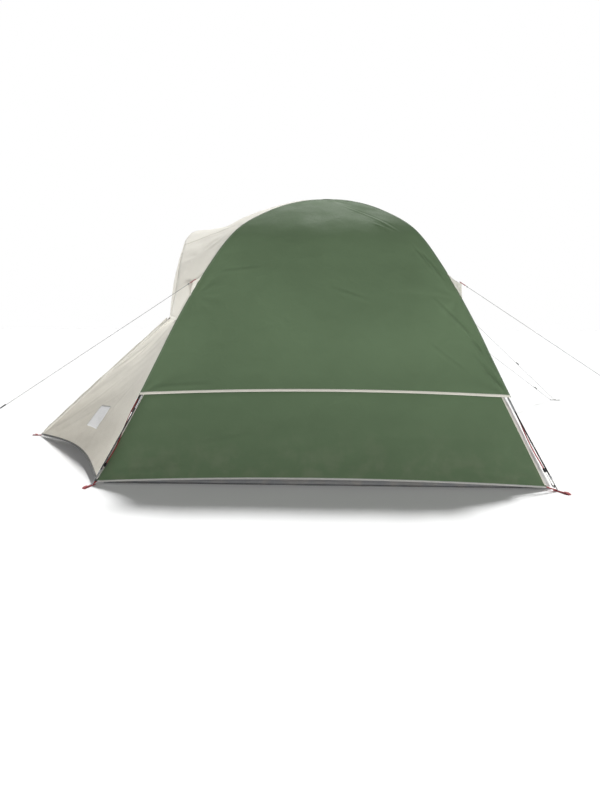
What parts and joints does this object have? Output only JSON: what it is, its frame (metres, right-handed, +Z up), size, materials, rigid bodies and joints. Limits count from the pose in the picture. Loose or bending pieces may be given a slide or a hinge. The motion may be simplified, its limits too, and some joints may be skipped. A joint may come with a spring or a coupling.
{
  "type": "dome tent with porch",
  "caption": "Two crossed poles carry a green and beige flysheet over an inner tent, with a hooded porch, two zipped doors and guy lines.",
  "frame": {"origin": "on the ground, under the middle of the tent and its ground loops", "axes": "+Z up, +X to the rear of the tent and -X to the porch, +Y to the far side, so that -Y is the side that faces the viewer"},
  "size_m": [5.7922, 3.7376, 1.941],
  "materials": {
    "green_fabric": "coated plain-weave polyester, satin",
    "beige_fabric": "coated plain-weave polyester, satin",
    "inner_fabric": "thin breathable polyester, matt",
    "groundsheet": "woven coated sheet, matt",
    "red_webbing": "woven webbing",
    "guy_line": "braided cord",
    "fibreglass": "drawn fibreglass, faint gloss",
    "steel": "drawn steel tube",
    "slider_metal": "cast zip slider",
    "black_plastic": "moulded plastic"
  },
  "bodies": {
    "tent": {"main_pole_a_arch": "fibreglass", "pole_end_porch_near": "fibreglass", "ferrule_porch_near": "steel", "foot_pin_porch_near": "steel", "pole_end_rear_far": "fibreglass", "ferrule_rear_far": "steel", "foot_pin_rear_far": "steel", "main_pole_b_arch": "fibreglass", "pole_end_porch_far": "fibreglass", "ferrule_porch_far": "steel", "foot_pin_porch_far": "steel", "pole_end_rear_near": "fibreglass", "ferrule_rear_near": "steel", "foot_pin_rear_near": "steel", "brow_pole": "fibreglass", "fly_side_near": "green_fabric", "fly_side_rear": "beige_fabric", "fly_side_far": "green_fabric", "fly_roof_front": "beige_fabric", "crown_patch": "green_fabric", "porch_side_near": "beige_fabric", "porch_side_far": "beige_fabric", "porch_front_wall": "beige_fabric", "porch_hood": "beige_fabric", "lower_wall_near": "green_fabric", "lower_wall_far": "green_fabric", "lower_wall_rear": "beige_fabric", "inner_wall_near": "inner_fabric", "inner_wall_rear": "inner_fabric", "inner_wall_far": "inner_fabric", "inner_wall_front": "inner_fabric", "inner_door_roll": "inner_fabric", "groundsheet": "groundsheet", "foot_loop_porch_near": "red_webbing", "foot_loop_rear_far": "red_webbing", "foot_loop_porch_far": "red_webbing", "foot_loop_rear_near": "red_webbing", "porch_peg_loop": "red_webbing", "tension_strap_porch_near": "red_webbing", "tension_strap_rear_far": "red_webbing", "tension_strap_porch_far": "red_webbing", "tension_strap_rear_near": "red_webbing", "guy_tab_porch_near": "red_webbing", "guy_tab_rear_far": "red_webbing", "guy_tab_porch_far": "red_webbing", "guy_tab_rear_near": "red_webbing", "guy_tab_rear_far_low": "red_webbing", "guy_line_porch_near": "guy_line", "guy_line_rear_near": "guy_line", "guy_line_rear_far": "guy_line", "guy_line_rear_far_low": "guy_line"},
    "door_near": {"porch_door_near": "beige_fabric"},
    "door_far": {"porch_door_far": "beige_fabric"},
    "zip_slider": {"zip_slider": "slider_metal"},
    "runner_porch_near": {"guy_runner_porch_near": "black_plastic"},
    "runner_rear_near": {"guy_runner_rear_near": "black_plastic"},
    "runner_rear_far": {"guy_runner_rear_far": "black_plastic"},
    "runner_rear_far_low": {"guy_runner_rear_far_low": "black_plastic"}
  },
  "joints": [
    {"name": "door_near_swing", "type": "hinge", "parent": "tent", "child": "door_near", "pos_m": [-1.2674, -0.515, 0.537], "axis": [0.6809, -0.5087, 0.5268], "range_deg": [0, 140]},
    {"name": "door_far_swing", "type": "hinge", "parent": "tent", "child": "door_far", "pos_m": [-1.2674, 0.515, 0.537], "axis": [-0.6809, -0.5087, -0.5268], "range_deg": [0, 140]},
    {"name": "zip_slide", "type": "slide", "parent": "door_near", "child": "zip_slider", "axis": [0.752, 0.0067, 0.6591], "range_m": [0, 1.3]},
    {"name": "runner_slide_porch_near", "type": "slide", "parent": "tent", "child": "runner_porch_near", "axis": [-0.789, -0.2985, -0.5371], "range_m": [-0.12, 0.12]},
    {"name": "runner_slide_rear_near", "type": "slide", "parent": "tent", "child": "runner_rear_near", "axis": [0.7901, -0.2915, -0.5392], "range_m": [-0.12, 0.12]},
    {"name": "runner_slide_rear_far", "type": "slide", "parent": "tent", "child": "runner_rear_far", "axis": [0.6686, 0.4698, -0.5764], "range_m": [-0.12, 0.12]},
    {"name": "runner_slide_rear_far_low", "type": "slide", "parent": "tent", "child": "runner_rear_far_low", "axis": [0.7053, 0.4983, -0.5043], "range_m": [-0.12, 0.12]}
  ]
}
